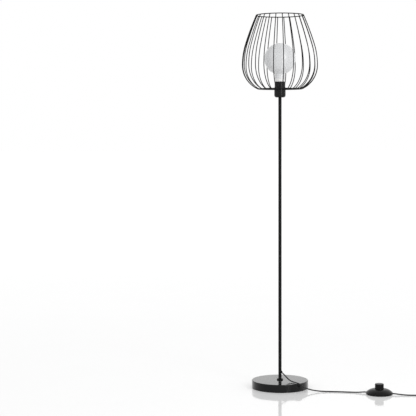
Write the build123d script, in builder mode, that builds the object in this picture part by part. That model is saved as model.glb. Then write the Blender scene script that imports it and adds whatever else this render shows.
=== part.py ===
"""Floor lamp: a round weighted base, a slim pole in three screwed sections, a lamp holder,
a cage of bent wires around a globe bulb, and a foot switch on the mains cord.

Millimetres, +Z up. The origin is the centre of the base's underside, on the floor. The lamp is
seen along +Y, and the cord leaves towards +X.
"""
import os
from math import cos, pi, radians, sin, sqrt, tan

from build123d import *

os.makedirs("parts", exist_ok=True)

# The whole lamp, from the floor to the top of the cage.
lamp_height = 1500.0

# Base: a spun steel cover over a cast weight, on a rubber pad.
base_diameter = 228.0
base_height = 32.0
cover_wall = 1.5
cover_edge = 3.0
cover_lift = 0.8
pad_thickness = 2.0
pad_inset = 4.0
weight_gap = 0.3
recess_diameter = 44.0
recess_room = 3.0
washer_diameter = 30.0
washer_thickness = 2.0
base_nut_width = 17.0
base_nut_height = 8.0
foot_nipple_tail = 2.0

# Pole: steel tube, bored for the cord, with a turned collar at its foot.
pole_diameter = 13.0
pole_wall = 1.5
section_names = ["pole_lower", "pole_middle", "pole_upper"]
joiner_length = 40.0
seam_edge = 0.3
collar_diameter = 25.0
collar_height = 4.5
collar_floor = 2.0
collar_edge = 1.5
thread_gap = 0.05
passage_gap = 0.6

# Cord where it leaves the pole.
cord_diameter = 5.0
exit_height = 68.0
exit_azimuth = -50.0
exit_fall = 22.0
exit_reach = 10.0
exit_bend = 7.0
exit_clear = 12.0
grommet_wall = 1.9
grommet_flange = 1.4
grommet_stand = 9.2
grommet_edge = 0.8
grommet_gap = 0.05

# Lamp holder for a 27 mm screw cap, from the screw shell outwards.
shell_bore = 26.7
shell_wall = 0.5
shell_head_gap = 1.75
core_wall = 2.6
core_gap = 0.3
core_base = 9.0
skirt_wall = 1.7
skirt_height = 26.5
skirt_lip = 2.0
lip_gap = 0.3
seat_width = 4.25
shoulder_height = 3.25
spigot_depth = 8.0
spigot_gap = 0.15
cup_height = 33.0
cup_wall = 2.2
cup_floor = 3.0
cup_edge = 9.0
cup_grooves = 40
groove_diameter = 1.2
groove_depth = 0.35
groove_foot = 10.0
groove_head = 2.5
holder_nut_width = 14.0
holder_nut_height = 4.0
nipple_above = 8.0
nipple_below = 20.0
sheath_stand = 1.0
post_diameter = 5.0
post_offset = 13.5
post_height = 20.0
tongue_thickness = 1.9
tongue_length = 15.0
tongue_width = 6.0
tongue_corner = 2.4
terminal_diameter = 4.0
terminal_length = 5.0
lead_diameter = 1.6
lead_spread = 7.0
lead_start = 1.3
lead_entry = 1.5
lead_clear = 1.8

# Threaded ring that clamps the cage on the holder.
ring_wall = 2.5
ring_rim = 1.3
ring_rim_height = 2.5
ring_clearance = 0.3
ring_taper = 1.5
ring_taper_height = 7.0
ring_grooves = 48

# Cage: upright wires between two rings, on a plate with three spokes.
cage_wires_count = 24
cage_wire = 3.5
cage_ring_wire = 3.8
cage_near_wire = 5.5
cage_belly_radius = 150.5
cage_bottom_radius = 88.5
cage_top_radius = 94.5
cage_height = 292.75
cage_lower_bend = 103.0
cage_upper_bend = 278.0
cage_upper_turn = 17.5
cage_spokes_count = 3
plate_rim = 3.7
plate_thickness = 1.5
plate_clearance = 0.3
spoke_gap = 1.25

# Bulb: opal globe, 125 mm, on a 27 mm screw cap.
globe_diameter = 125.0
globe_wall = 1.0
neck_radius = 20.3
neck_blend = 6.0
neck_height = 16.0
bulb_collar_diameter = 37.2
bulb_collar_height = 11.4
bulb_collar_wall = 1.8
bulb_flare = 3.0
bulb_flare_edge = 1.0
bulb_lift = 0.6
cap_gap = 0.3
cap_thread_depth = 0.7
cap_wall = 0.6
cap_pitch = 3.629
cap_first_ridge = 2.7
cap_ridge_foot = 2.8
cap_ridge_flat = 0.7
insulator_height = 3.2
insulator_tip = 13.0
contact_diameter = 11.0
contact_height = 1.6
contact_gap = 0.3
light_board_gap = 2.3
light_board_thickness = 1.5
board_wire_hole = 8.5
driver_gap = 1.75
driver_length = 26.0

# Foot switch on the cord.
switch_x = 391.0
switch_y = -121.0
switch_azimuth = -14.5
switch_diameter = 104.0
switch_rim_lift = 0.8
switch_rim_height = 8.5
switch_dome_height = 23.0
switch_dome_bulge = 2.6
switch_wall = 2.2
switch_collar_width = 1.6
switch_collar_height = 1.6
button_diameter = 35.0
button_top = 42.5
button_wall = 2.0
button_edge = 3.0
button_gap = 0.4
button_catch = 1.4
button_flange_height = 1.8
button_travel = 4.0
button_stop_gap = 0.3
stem_diameter = 5.0
spring_diameter = 10.0
spring_wire = 1.0
spring_turns = 6
foot_thickness = 1.0
foot_diameter = 12.0
foot_count = 4
foot_inset = 10.5
foot_first_angle = 45.0
plate_gap = 0.3
switch_plate_thickness = 2.0
port_lift = 0.7
port_gap = 0.3
port_lead = 2.0
block_length = 36.0
block_width = 24.0
block_height = 10.0
clamp_gap = 9.0
clamp_length = 8.0
clamp_width = 16.0
clamp_height = 8.0
screw_count = 3
screw_inset = 8.5
screw_first_angle = 90.0
screw_diameter = 3.0
screw_reach = 3.5
screw_spare = 1.5
screw_head = 5.6
screw_head_height = 1.4
boss_wall = 2.0

# Cord on the floor: the stretches' points are chosen by hand, x, y, z.
floor_gap = 0.05
floor_height = cord_diameter / 2 + floor_gap
to_switch_route = [
    (28.6, -34.0, 51.6),
    (41.5, -49.5, 46.2),
    (54.5, -64.0, 42.6),
    (69.0, -78.5, 40.6),
    (85.0, -89.5, 35.5),
    (101.5, -94.6, 24.0),
    (119.0, -94.0, 11.0),
    (139.0, -90.2, 4.2),
    (163.0, -87.2, floor_height),
    (197.0, -86.4, floor_height),
    (240.0, -89.6, floor_height),
    (281.0, -95.8, floor_height),
    (308.0, -101.4, 3.2),
    (324.0, -104.8, 5.2),
]
exit_lead = 13.0
from_switch_route = [
    (455.0, -137.6, 5.6),
    (474.0, -142.2, 3.6),
    (502.0, -146.4, floor_height),
    (536.0, -148.4, 2.7),
]
coil_lead = 32.0
tail_route = [
    (648.0, -140.6, 6.2),
    (664.0, -132.0, 3.6),
    (674.6, -117.0, 3.0),
    (678.4, -100.0, 4.6),
]
tail_lead = 22.0
plug_lead = 12.0

# Coil of the cord's spare length, beside the lamp.
coil_x = 596.0
coil_y = -108.8
coil_lift = 1.0
coil_radius = 39.25
coil_gap = 0.5
coil_lower_halves = 7
coil_upper_halves = 6
tie_wall = 0.8
tie_width = 7.0
tie_gap = 0.1
tie_side_gap = 0.3
tie_corner = 1.7

# Flat two-pin plug.
plug_x = 679.0
plug_y = -74.0
sleeve_length = 30.0
sleeve_wall = 1.0
sleeve_step = 1.35
plug_length = 36.0
plug_width = 35.3
plug_thickness = 13.7
plug_shoulder = 20.0
plug_side_flat = 1.7
plug_edge = 1.2
pin_diameter = 4.0
pin_length = 19.0
pin_spacing = 18.6
pin_nose_flat = 0.5

# Radii and heights that follow from the sizes above.
cord_radius = cord_diameter / 2
pole_radius = pole_diameter / 2
pole_bore = pole_radius - pole_wall
thread_radius = pole_bore - thread_gap
passage_radius = cord_radius + passage_gap
pocket_radius = shell_bore / 2 + shell_wall + thread_gap
core_radius = pocket_radius + core_wall
skirt_radius = core_radius + core_gap + skirt_wall
cup_radius = skirt_radius + seat_width
pole_foot = base_height + collar_floor
pole_top = lamp_height - cage_height - shoulder_height - cup_height
pole_section = (pole_top - pole_foot) / len(section_names)
cup_top = pole_top + cup_height
seat_height = cup_top + shoulder_height
core_foot = pole_top + cup_floor + post_height
pocket_floor = core_foot + core_base
skirt_top = seat_height + skirt_height
ring_foot = seat_height + plate_thickness
cage_bottom = seat_height - cage_ring_wire / 2
cage_top = cage_bottom + cage_height
belly_height = cage_bottom + sqrt(
    cage_lower_bend**2 - (cage_bottom_radius - cage_belly_radius + cage_lower_bend) ** 2
)
coil_pitch = cord_diameter + coil_gap
coil_height = cord_radius + coil_lift


def disc(radius, low, high, hole=0.0, mode=Mode.ADD):
    """Extrude a disc on the lamp's axis, or a ring when it has a hole."""
    with BuildSketch(Plane.XY.offset(low)) as outline:
        Circle(radius)
        if hole > 0:
            Circle(hole, mode=Mode.SUBTRACT)
    extrude(outline.sketch, amount=high - low, mode=mode)


def hexagon(width, low, high, hole):
    """Extrude a hexagonal nut on the lamp's axis; width is across its flats."""
    with BuildSketch(Plane.XY.offset(low)) as outline:
        RegularPolygon(radius=width / 2, side_count=6, major_radius=False)
        Circle(hole, mode=Mode.SUBTRACT)
    extrude(outline.sketch, amount=high - low)


def save(name, builder):
    """Label a finished piece and write its STEP file."""
    builder.part.label = name
    export_step(builder.part, f"parts/{name}.step")


def bend_radii(points):
    """One radius for each corner: 0.45 of the shorter run over the tangent of half the turn."""
    radii = []
    for before, corner, after in zip(points, points[1:], points[2:]):
        first = Vector(*corner) - Vector(*before)
        second = Vector(*after) - Vector(*corner)
        half_turn = radians(first.get_angle(second)) / 2
        radii.append(0.45 * min(first.length, second.length) / tan(half_turn))
    return radii


def report_tube(name, path, radii, solid):
    """Print a tube's radii, its length and its volume over section times length."""
    ratio = solid.volume / (pi * cord_radius**2 * path.length)
    shown = ", ".join(f"{radius:.0f}" for radius in radii)
    print(f"{name}: length {path.length:.1f}, volume ratio {ratio:.5f}, radii {shown}")


# ---------------------------------------------------------------- base
weight_radius = base_diameter / 2 - cover_wall - weight_gap
weight_top = base_height - cover_wall
nut_and_tail = base_nut_height + foot_nipple_tail
recess_ceiling = pad_thickness + recess_room + nut_and_tail + washer_thickness

with BuildPart() as base_pad:
    disc(weight_radius - pad_inset, 0, pad_thickness)
save("base_pad", base_pad)

with BuildPart() as base_weight:
    disc(weight_radius, pad_thickness, weight_top, hole=pole_bore)
    disc(recess_diameter / 2, pad_thickness, recess_ceiling, mode=Mode.SUBTRACT)
save("base_weight", base_weight)

with BuildPart() as base_cover:
    disc(base_diameter / 2, cover_lift, base_height)
    fillet(base_cover.edges().group_by(Axis.Z)[-1], min(cover_edge, 2 * cover_wall))
    disc(base_diameter / 2 - cover_wall, cover_lift, weight_top, mode=Mode.SUBTRACT)
    disc(pole_bore, weight_top, base_height, mode=Mode.SUBTRACT)
save("base_cover", base_cover)

with BuildPart() as base_washer:
    disc(washer_diameter / 2, recess_ceiling - washer_thickness, recess_ceiling, hole=pole_bore)
save("base_washer", base_washer)

base_nut_top = recess_ceiling - washer_thickness
with BuildPart() as base_nut:
    hexagon(base_nut_width, base_nut_top - base_nut_height, base_nut_top, pole_bore)
save("base_nut", base_nut)

with BuildPart() as base_nipple:
    nipple_foot = base_nut_top - nut_and_tail
    disc(thread_radius, nipple_foot, exit_height - exit_clear, hole=passage_radius)
save("base_nipple", base_nipple)

# ---------------------------------------------------------------- pole
with BuildPart() as pole_collar:
    disc(collar_diameter / 2, base_height, base_height + collar_height)
    fillet(pole_collar.edges().group_by(Axis.Z)[-1], collar_edge)
    disc(pole_bore, base_height, pole_foot, mode=Mode.SUBTRACT)
    disc(pole_radius + thread_gap, pole_foot, base_height + collar_height, mode=Mode.SUBTRACT)
save("pole_collar", pole_collar)

exit_corner = Vector(0, 0, exit_height)
exit_direction = Vector(
    cos(radians(exit_azimuth)) * cos(radians(exit_fall)),
    sin(radians(exit_azimuth)) * cos(radians(exit_fall)),
    -sin(radians(exit_fall)),
)
exit_point = exit_corner + exit_direction * exit_reach
exit_plane = Plane(origin=exit_corner, z_dir=exit_direction)
neck_section = cord_radius + grommet_wall

for number, section_name in enumerate(section_names):
    section_foot = pole_foot + number * pole_section
    with BuildPart() as pole_tube:
        disc(pole_radius, section_foot, section_foot + pole_section, hole=pole_bore)
        round_edges = pole_tube.edges().filter_by(GeomType.CIRCLE)
        chamfer(round_edges.group_by(SortBy.RADIUS)[-1], seam_edge)
        if number == 0:
            with BuildSketch(exit_plane) as cord_hole:
                Circle(neck_section + grommet_gap)
            extrude(cord_hole.sketch, amount=pole_diameter, mode=Mode.SUBTRACT)
    save(section_name, pole_tube)

with BuildPart() as pole_joiners:
    for number in range(1, len(section_names)):
        joint_height = pole_foot + number * pole_section
        low = joint_height - joiner_length / 2
        disc(thread_radius, low, low + joiner_length, hole=passage_radius)
save("pole_joiners", pole_joiners)

with BuildPart() as cord_grommet:
    with BuildSketch(exit_plane) as flange:
        Circle(neck_section + grommet_flange)
    extrude(flange.sketch, amount=grommet_stand)
    grommet_face = cord_grommet.faces().sort_by(Axis(exit_corner, exit_direction))[-1]
    fillet(grommet_face.edges(), grommet_edge)
    disc(pole_radius, pole_foot, exit_height + pole_diameter, mode=Mode.SUBTRACT)
    with BuildSketch(exit_plane) as neck:
        Circle(neck_section)
    extrude(neck.sketch, amount=grommet_stand)
    disc(pole_bore, pole_foot, exit_height + pole_diameter, mode=Mode.SUBTRACT)
    with BuildSketch(exit_plane) as cord_bore:
        Circle(cord_radius + grommet_gap)
    extrude(cord_bore.sketch, amount=2 * grommet_stand, mode=Mode.SUBTRACT)
save("cord_grommet", cord_grommet)

nipple_top = pole_top + cup_floor + nipple_above
riser_top = nipple_top + sheath_stand
riser_route = [(0, 0, riser_top), (0, 0, exit_height), tuple(exit_point)]
with BuildPart() as riser_cord:
    with BuildLine() as riser_path:
        FilletPolyline(*riser_route, radius=exit_bend)
    with BuildSketch(Plane(origin=riser_path.line @ 0, z_dir=riser_path.line % 0)):
        Circle(cord_radius)
    sweep()
save("riser_cord", riser_cord)

# ---------------------------------------------------------------- lamp holder
cup_bore = cup_radius - cup_wall
cup_floor_top = pole_top + cup_floor

with BuildPart() as holder_nipple:
    disc(thread_radius, pole_top - nipple_below, nipple_top, hole=passage_radius)
save("holder_nipple", holder_nipple)

with BuildPart() as holder_nut:
    hexagon(holder_nut_width, cup_floor_top, cup_floor_top + holder_nut_height, pole_bore)
save("holder_nut", holder_nut)

with BuildPart() as holder_cup:
    disc(cup_radius, pole_top, cup_top)
    fillet(holder_cup.edges().group_by(Axis.Z)[0], cup_edge)
    with BuildSketch(Plane.XY.offset(pole_top + groove_foot)):
        with PolarLocations(cup_radius - groove_depth + groove_diameter / 2, cup_grooves):
            Circle(groove_diameter / 2)
    extrude(amount=cup_height - groove_foot - groove_head, mode=Mode.SUBTRACT)
    disc(cup_bore, cup_floor_top + cup_edge, cup_top, mode=Mode.SUBTRACT)
    disc(cup_bore - cup_edge / 2, cup_floor_top, cup_floor_top + cup_edge, mode=Mode.SUBTRACT)
    disc(pole_bore, pole_top, cup_floor_top, mode=Mode.SUBTRACT)
    with BuildSketch(Plane.XY.offset(cup_floor_top)):
        with Locations((-post_offset, 0), (post_offset, 0)):
            Circle(post_diameter / 2)
    extrude(amount=post_height)
save("holder_cup", holder_cup)

with BuildPart() as holder_core:
    disc(core_radius, core_foot, skirt_top - skirt_lip - core_gap)
    disc(pocket_radius, pocket_floor, skirt_top, mode=Mode.SUBTRACT)
save("holder_core", holder_core)

with BuildPart() as holder_screw_shell:
    shell_head = skirt_top - skirt_lip - shell_head_gap
    disc(shell_bore / 2 + shell_wall, pocket_floor, shell_head, hole=shell_bore / 2)
save("holder_screw_shell", holder_screw_shell)

with BuildPart() as holder_contact:
    with BuildSketch(Plane.XY.offset(pocket_floor)):
        RectangleRounded(tongue_length, tongue_width, tongue_corner)
    extrude(amount=tongue_thickness)
save("holder_contact", holder_contact)

with BuildPart() as holder_skirt:
    skirt_bore = core_radius + core_gap
    disc(cup_bore - spigot_gap, cup_top - spigot_depth, cup_top)
    disc(cup_radius, cup_top, seat_height)
    disc(skirt_radius, seat_height, skirt_top)
    disc(skirt_bore, cup_top - spigot_depth, skirt_top - skirt_lip, mode=Mode.SUBTRACT)
    disc(pocket_radius + lip_gap, skirt_top - skirt_lip, skirt_top, mode=Mode.SUBTRACT)
save("holder_skirt", holder_skirt)

with BuildPart() as holder_terminals:
    with BuildSketch(Plane.XY.offset(core_foot - terminal_length)):
        with Locations((0, -lead_spread), (0, lead_spread)):
            Circle(terminal_diameter / 2)
    extrude(amount=terminal_length)
    with BuildSketch(Plane.XY.offset(core_foot - terminal_length)):
        with Locations((0, -lead_spread), (0, lead_spread)):
            Circle(lead_diameter / 2 + thread_gap)
    extrude(amount=2 * lead_entry, mode=Mode.SUBTRACT)
save("holder_terminals", holder_terminals)

terminal_foot = core_foot - terminal_length
with BuildPart() as holder_leads:
    for side in (-1, 1):
        lead_route = [
            (0, side * lead_start, riser_top),
            (0, side * lead_start, riser_top + lead_entry),
            (0, side * lead_spread, terminal_foot - lead_clear),
            (0, side * lead_spread, terminal_foot + lead_entry),
        ]
        with BuildLine() as lead_path:
            FilletPolyline(*lead_route, radius=bend_radii(lead_route))
        with BuildSketch(Plane(origin=lead_path.line @ 0, z_dir=lead_path.line % 0)):
            Circle(lead_diameter / 2)
        sweep()
save("holder_leads", holder_leads)

ring_bore = skirt_radius + ring_clearance
ring_radius = ring_bore + ring_wall
with BuildPart() as shade_ring:
    with BuildSketch(Plane.XZ):
        with BuildLine():
            Polyline(
                (0, ring_foot),
                (ring_radius + ring_rim, ring_foot),
                (ring_radius + ring_rim, ring_foot + ring_rim_height),
                (ring_radius, ring_foot + ring_rim_height),
                (ring_radius, skirt_top - ring_taper_height),
                (ring_radius - ring_taper, skirt_top),
                (0, skirt_top),
                close=True,
            )
        make_face()
    revolve(axis=Axis.Z)
    with BuildSketch(Plane.XY.offset(ring_foot + ring_rim_height)):
        with PolarLocations(ring_radius - groove_depth + groove_diameter / 2, ring_grooves):
            Circle(groove_diameter / 2)
    extrude(amount=skirt_height, mode=Mode.SUBTRACT)
    disc(ring_bore, ring_foot, skirt_top, mode=Mode.SUBTRACT)
save("shade_ring", shade_ring)

# ---------------------------------------------------------------- cage
with BuildPart() as cage_top_ring:
    with BuildSketch(Plane.XZ):
        with Locations((cage_top_radius, cage_top)):
            Circle(cage_ring_wire / 2)
    revolve(axis=Axis.Z)
save("cage_top_ring", cage_top_ring)

with BuildPart() as cage_bottom_ring:
    with BuildSketch(Plane.XZ):
        with Locations((cage_bottom_radius, cage_bottom)):
            Circle(cage_ring_wire / 2)
    revolve(axis=Axis.Z)
save("cage_bottom_ring", cage_bottom_ring)

# One wire: a tight arc under the belly, a wide one over it, and a nearly straight shoulder.
lower_centre = cage_belly_radius - cage_lower_bend
upper_centre = cage_belly_radius - cage_upper_bend
shoulder_turn = radians(cage_upper_turn)
shoulder = (
    upper_centre + cage_upper_bend * cos(shoulder_turn),
    belly_height + cage_upper_bend * sin(shoulder_turn),
)
lower_half = sqrt((cage_lower_bend + cage_bottom_radius - lower_centre) * cage_lower_bend / 2)
lower_middle = (
    lower_centre + lower_half,
    belly_height - sqrt(cage_lower_bend**2 - lower_half**2),
)
upper_middle = (
    upper_centre + cage_upper_bend * cos(shoulder_turn / 2),
    belly_height + cage_upper_bend * sin(shoulder_turn / 2),
)
with BuildPart(mode=Mode.PRIVATE) as one_wire:
    with BuildLine(Plane.XZ) as wire_path:
        ThreePointArc(
            (cage_bottom_radius, cage_bottom), lower_middle, (cage_belly_radius, belly_height)
        )
        ThreePointArc((cage_belly_radius, belly_height), upper_middle, shoulder)
        TangentArc(
            shoulder,
            (cage_top_radius, cage_top),
            tangent=(-sin(shoulder_turn), cos(shoulder_turn)),
        )
    with BuildSketch(Plane(origin=wire_path.line @ 0, z_dir=wire_path.line % 0)):
        Circle(cage_wire / 2)
    sweep()
    add(cage_top_ring.part, mode=Mode.SUBTRACT)
    add(cage_bottom_ring.part, mode=Mode.SUBTRACT)

with BuildPart() as cage_wires:
    with PolarLocations(0, cage_wires_count, start_angle=cage_near_wire - 90):
        add(one_wire.part)
save("cage_wires", cage_wires)

plate_radius = ring_radius + ring_rim + plate_rim
with BuildPart() as cage_plate:
    disc(plate_radius, seat_height, ring_foot, hole=skirt_radius + plate_clearance)
save("cage_plate", cage_plate)

with BuildPart(mode=Mode.PRIVATE) as one_spoke:
    spoke_start = cup_radius + spoke_gap
    with BuildSketch(Plane.YZ.offset(spoke_start)) as spoke_section:
        with Locations((0, cage_bottom)):
            Circle(cage_ring_wire / 2)
    extrude(amount=cage_bottom_radius - spoke_start)
    add(cage_bottom_ring.part, mode=Mode.SUBTRACT)

with BuildPart() as cage_spokes:
    with PolarLocations(0, cage_spokes_count, start_angle=90):
        add(one_spoke.part)
save("cage_spokes", cage_spokes)

# ---------------------------------------------------------------- bulb
contact_foot = pocket_floor + tongue_thickness + contact_gap
insulator_foot = contact_foot + contact_height
cap_foot = insulator_foot + insulator_height
collar_foot = skirt_top + bulb_lift
collar_top = collar_foot + bulb_collar_height
cap_top = collar_foot + bulb_collar_wall
cap_radius = shell_bore / 2 - cap_gap
cap_root = cap_radius - cap_thread_depth
cap_bore = cap_root - cap_wall
globe_radius = globe_diameter / 2
blend_reach = sqrt((globe_radius + neck_blend) ** 2 - (neck_radius + neck_blend) ** 2)
globe_centre = collar_top + neck_height + blend_reach

with BuildPart() as bulb_contact:
    disc(contact_diameter / 2, contact_foot, insulator_foot)
    fillet(bulb_contact.edges().group_by(Axis.Z)[0], contact_height / 2)
save("bulb_contact", bulb_contact)

with BuildPart() as bulb_insulator:
    with BuildSketch(Plane.XY.offset(insulator_foot)):
        Circle(insulator_tip / 2)
    with BuildSketch(Plane.XY.offset(cap_foot)):
        Circle(cap_bore)
    loft()
save("bulb_insulator", bulb_insulator)

with BuildPart() as bulb_cap:
    disc(cap_root, cap_foot, cap_top, hole=cap_bore)
    disc(cap_root, cap_foot, cap_foot + cap_wall, hole=cap_bore - cap_wall)
    for turn in range(int((collar_foot - cap_foot) / cap_pitch) - 1):
        crest = cap_foot + cap_first_ridge + turn * cap_pitch
        with BuildSketch(Plane.XZ) as thread_crest:
            with BuildLine():
                Polyline(
                    (cap_root - cap_wall / 2, crest - cap_ridge_foot / 2),
                    (cap_radius, crest - cap_ridge_flat / 2),
                    (cap_radius, crest + cap_ridge_flat / 2),
                    (cap_root - cap_wall / 2, crest + cap_ridge_foot / 2),
                    close=True,
                )
            make_face()
        revolve(axis=Axis.Z)
save("bulb_cap", bulb_cap)

driver_head = collar_top - bulb_collar_wall
with BuildPart() as bulb_driver:
    disc(cap_bore - driver_gap, driver_head - driver_length, driver_head)
save("bulb_driver", bulb_driver)

with BuildPart() as bulb_collar:
    body = bulb_collar_diameter / 2
    inside = body - bulb_collar_wall
    with BuildSketch(Plane.XZ):
        with BuildLine():
            Polyline(
                (cap_root + thread_gap, collar_foot),
                (body, collar_foot),
                (body, collar_top - bulb_flare),
                (neck_radius, collar_top - bulb_flare_edge),
                (neck_radius, collar_top),
                (board_wire_hole / 2, collar_top),
                (board_wire_hole / 2, driver_head),
                (inside, driver_head),
                (inside, cap_top),
                (cap_root + thread_gap, cap_top),
                close=True,
            )
        make_face()
    revolve(axis=Axis.Z)
save("bulb_collar", bulb_collar)

with BuildPart() as bulb_light_board:
    board_radius = neck_radius - globe_wall - light_board_gap
    disc(board_radius, collar_top, collar_top + light_board_thickness)
save("bulb_light_board", bulb_light_board)


def globe_outline(inset):
    """Points of the glass at an inset: neck foot, blend start and middle, globe start and top."""
    radius = globe_radius - inset
    blend = neck_blend + inset
    neck = neck_radius - inset
    blend_centre = Vector(neck_radius + neck_blend, globe_centre - blend_reach)
    towards_globe = (Vector(0, globe_centre) - blend_centre).normalized()
    middle = (towards_globe + Vector(-1, 0)).normalized()
    return {
        "foot": Vector(neck, collar_top),
        "blend_start": Vector(neck, blend_centre.Y),
        "blend_middle": blend_centre + middle * blend,
        "globe_start": blend_centre + towards_globe * blend,
        "side": Vector(radius, globe_centre),
        "top": Vector(0, globe_centre + radius),
    }


glass_outside = globe_outline(0)
glass_inside = globe_outline(globe_wall)
with BuildPart() as bulb_globe:
    with BuildSketch(Plane.XZ):
        with BuildLine():
            for glass in (glass_outside, glass_inside):
                Line(glass["foot"], glass["blend_start"])
                ThreePointArc(glass["blend_start"], glass["blend_middle"], glass["globe_start"])
                ThreePointArc(glass["globe_start"], glass["side"], glass["top"])
            Line(glass_outside["foot"], glass_inside["foot"])
            Line(glass_outside["top"], glass_inside["top"])
        make_face()
    revolve(axis=Axis.Z)
save("bulb_globe", bulb_globe)

# ---------------------------------------------------------------- foot switch
switch_centre = Vector(switch_x, switch_y, 0)
switch_along = Vector(cos(radians(switch_azimuth)), sin(radians(switch_azimuth)), 0)
switch_across = Vector(-switch_along.Y, switch_along.X, 0)
switch_axis = Axis(switch_centre, (0, 0, 1))
switch_radius = switch_diameter / 2


def switch_level(height):
    """The plane across the switch at a height, with x along the cord."""
    return Plane(origin=switch_centre + Vector(0, 0, height), x_dir=switch_along, z_dir=(0, 0, 1))


switch_section = Plane(origin=switch_centre, x_dir=switch_along, z_dir=-switch_across)
plate_top = foot_thickness + switch_plate_thickness
port_height = plate_top + cord_radius + port_lift
port_plane = Plane(origin=switch_centre + Vector(0, 0, port_height), z_dir=switch_along)
block_top = plate_top + block_height
switch_plate_radius = switch_radius - switch_wall - plate_gap
screw_circle = switch_plate_radius - screw_inset

with BuildPart() as switch_feet:
    with BuildSketch(switch_level(0)):
        with PolarLocations(switch_plate_radius - foot_inset, foot_count, start_angle=foot_first_angle):
            Circle(foot_diameter / 2)
    extrude(amount=foot_thickness)
save("switch_feet", switch_feet)

with BuildPart() as switch_plate:
    with BuildSketch(switch_level(foot_thickness)):
        Circle(switch_plate_radius)
    extrude(amount=switch_plate_thickness)
    with BuildSketch(switch_level(foot_thickness)):
        with PolarLocations(screw_circle, screw_count, start_angle=screw_first_angle):
            Circle(screw_head / 2 + plate_gap)
    extrude(amount=screw_head_height, mode=Mode.SUBTRACT)
    with BuildSketch(switch_level(foot_thickness)):
        with PolarLocations(screw_circle, screw_count, start_angle=screw_first_angle):
            Circle(screw_diameter / 2 + thread_gap)
    extrude(amount=switch_plate_thickness, mode=Mode.SUBTRACT)
save("switch_plate", switch_plate)

button_radius = button_diameter / 2
hole_radius = button_radius + button_gap
dome_ceiling = switch_dome_height - switch_wall
dome_foot = (switch_radius, switch_rim_height)
dome_head = (hole_radius + switch_collar_width, switch_dome_height)
dome_middle = (
    (dome_foot[0] + dome_head[0]) / 2 + switch_dome_bulge,
    (dome_foot[1] + dome_head[1]) / 2 + switch_dome_bulge,
)
hollow_foot = (switch_radius - switch_wall, switch_rim_height - switch_wall / 2)
hollow_middle = (dome_middle[0] - switch_wall / 2, dome_middle[1] - switch_wall)
hollow_head = (dome_head[0], dome_ceiling)
screw_top = switch_rim_height + screw_reach

# The space under the dome, with the screw bosses left standing in it.
with BuildPart() as dome_hollow:
    with BuildSketch(switch_section):
        with BuildLine():
            Polyline((0, 0), (hollow_foot[0], 0), hollow_foot)
            ThreePointArc(hollow_foot, hollow_middle, hollow_head)
            Polyline(hollow_head, (0, dome_ceiling), (0, 0))
        make_face()
    revolve(axis=switch_axis)
    with BuildSketch(switch_level(plate_top)):
        with PolarLocations(screw_circle, screw_count, start_angle=screw_first_angle):
            Circle(screw_diameter / 2 + boss_wall)
    extrude(amount=switch_dome_height, mode=Mode.SUBTRACT)

with BuildPart() as switch_dome:
    with BuildSketch(switch_section):
        with BuildLine():
            Polyline((0, switch_rim_lift), (switch_radius, switch_rim_lift), dome_foot)
            ThreePointArc(dome_foot, dome_middle, dome_head)
            Polyline(
                dome_head,
                (hole_radius + switch_collar_width / 2, switch_dome_height + switch_collar_height),
                (0, switch_dome_height + switch_collar_height),
                (0, switch_rim_lift),
            )
        make_face()
    revolve(axis=switch_axis)
    add(dome_hollow.part, mode=Mode.SUBTRACT)
    with BuildSketch(switch_level(plate_top)):
        Circle(hole_radius)
    extrude(amount=button_top, mode=Mode.SUBTRACT)
    with BuildSketch(switch_level(plate_top)):
        with PolarLocations(screw_circle, screw_count, start_angle=screw_first_angle):
            Circle(screw_diameter / 2 + thread_gap)
    extrude(amount=screw_top + screw_spare - plate_top, mode=Mode.SUBTRACT)
    with BuildSketch(port_plane):
        Circle(cord_radius + port_gap)
    extrude(amount=switch_diameter, both=True, mode=Mode.SUBTRACT)
save("switch_dome", switch_dome)

with BuildPart() as switch_screws:
    with BuildSketch(switch_level(foot_thickness)):
        with PolarLocations(screw_circle, screw_count, start_angle=screw_first_angle):
            Circle(screw_head / 2)
    extrude(amount=screw_head_height)
    with BuildSketch(switch_level(foot_thickness)):
        with PolarLocations(screw_circle, screw_count, start_angle=screw_first_angle):
            Circle(screw_diameter / 2)
    extrude(amount=screw_top - foot_thickness)
save("switch_screws", switch_screws)

with BuildPart() as switch_contact_block:
    with BuildSketch(switch_level(plate_top)):
        Rectangle(block_length, block_width)
    extrude(amount=block_height)
save("switch_contact_block", switch_contact_block)

clamp_offset = block_length / 2 + clamp_gap + clamp_length / 2
with BuildPart() as switch_clamps:
    with BuildSketch(switch_level(plate_top)):
        with Locations((-clamp_offset, 0), (clamp_offset, 0)):
            Rectangle(clamp_length, clamp_width)
    extrude(amount=clamp_height)
    with BuildSketch(port_plane):
        Circle(cord_radius + thread_gap)
    extrude(amount=switch_radius, both=True, mode=Mode.SUBTRACT)
save("switch_clamps", switch_clamps)

flange_foot = dome_ceiling - button_stop_gap - button_flange_height
button_ceiling = button_top - button_wall
with BuildPart() as switch_button:
    with BuildSketch(switch_level(flange_foot)):
        Circle(button_radius)
    extrude(amount=button_top - flange_foot)
    fillet(switch_button.edges().group_by(Axis.Z)[-1], button_edge)
    with BuildSketch(switch_level(flange_foot)):
        Circle(hole_radius + button_catch)
    extrude(amount=button_flange_height)
    with BuildSketch(switch_level(flange_foot)):
        Circle(button_radius - button_wall)
    extrude(amount=button_ceiling - flange_foot, mode=Mode.SUBTRACT)
    stem_foot = block_top + button_travel + button_stop_gap
    with BuildSketch(switch_level(stem_foot)):
        Circle(stem_diameter / 2)
    extrude(amount=button_ceiling - stem_foot)
save("switch_button", switch_button)

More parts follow.
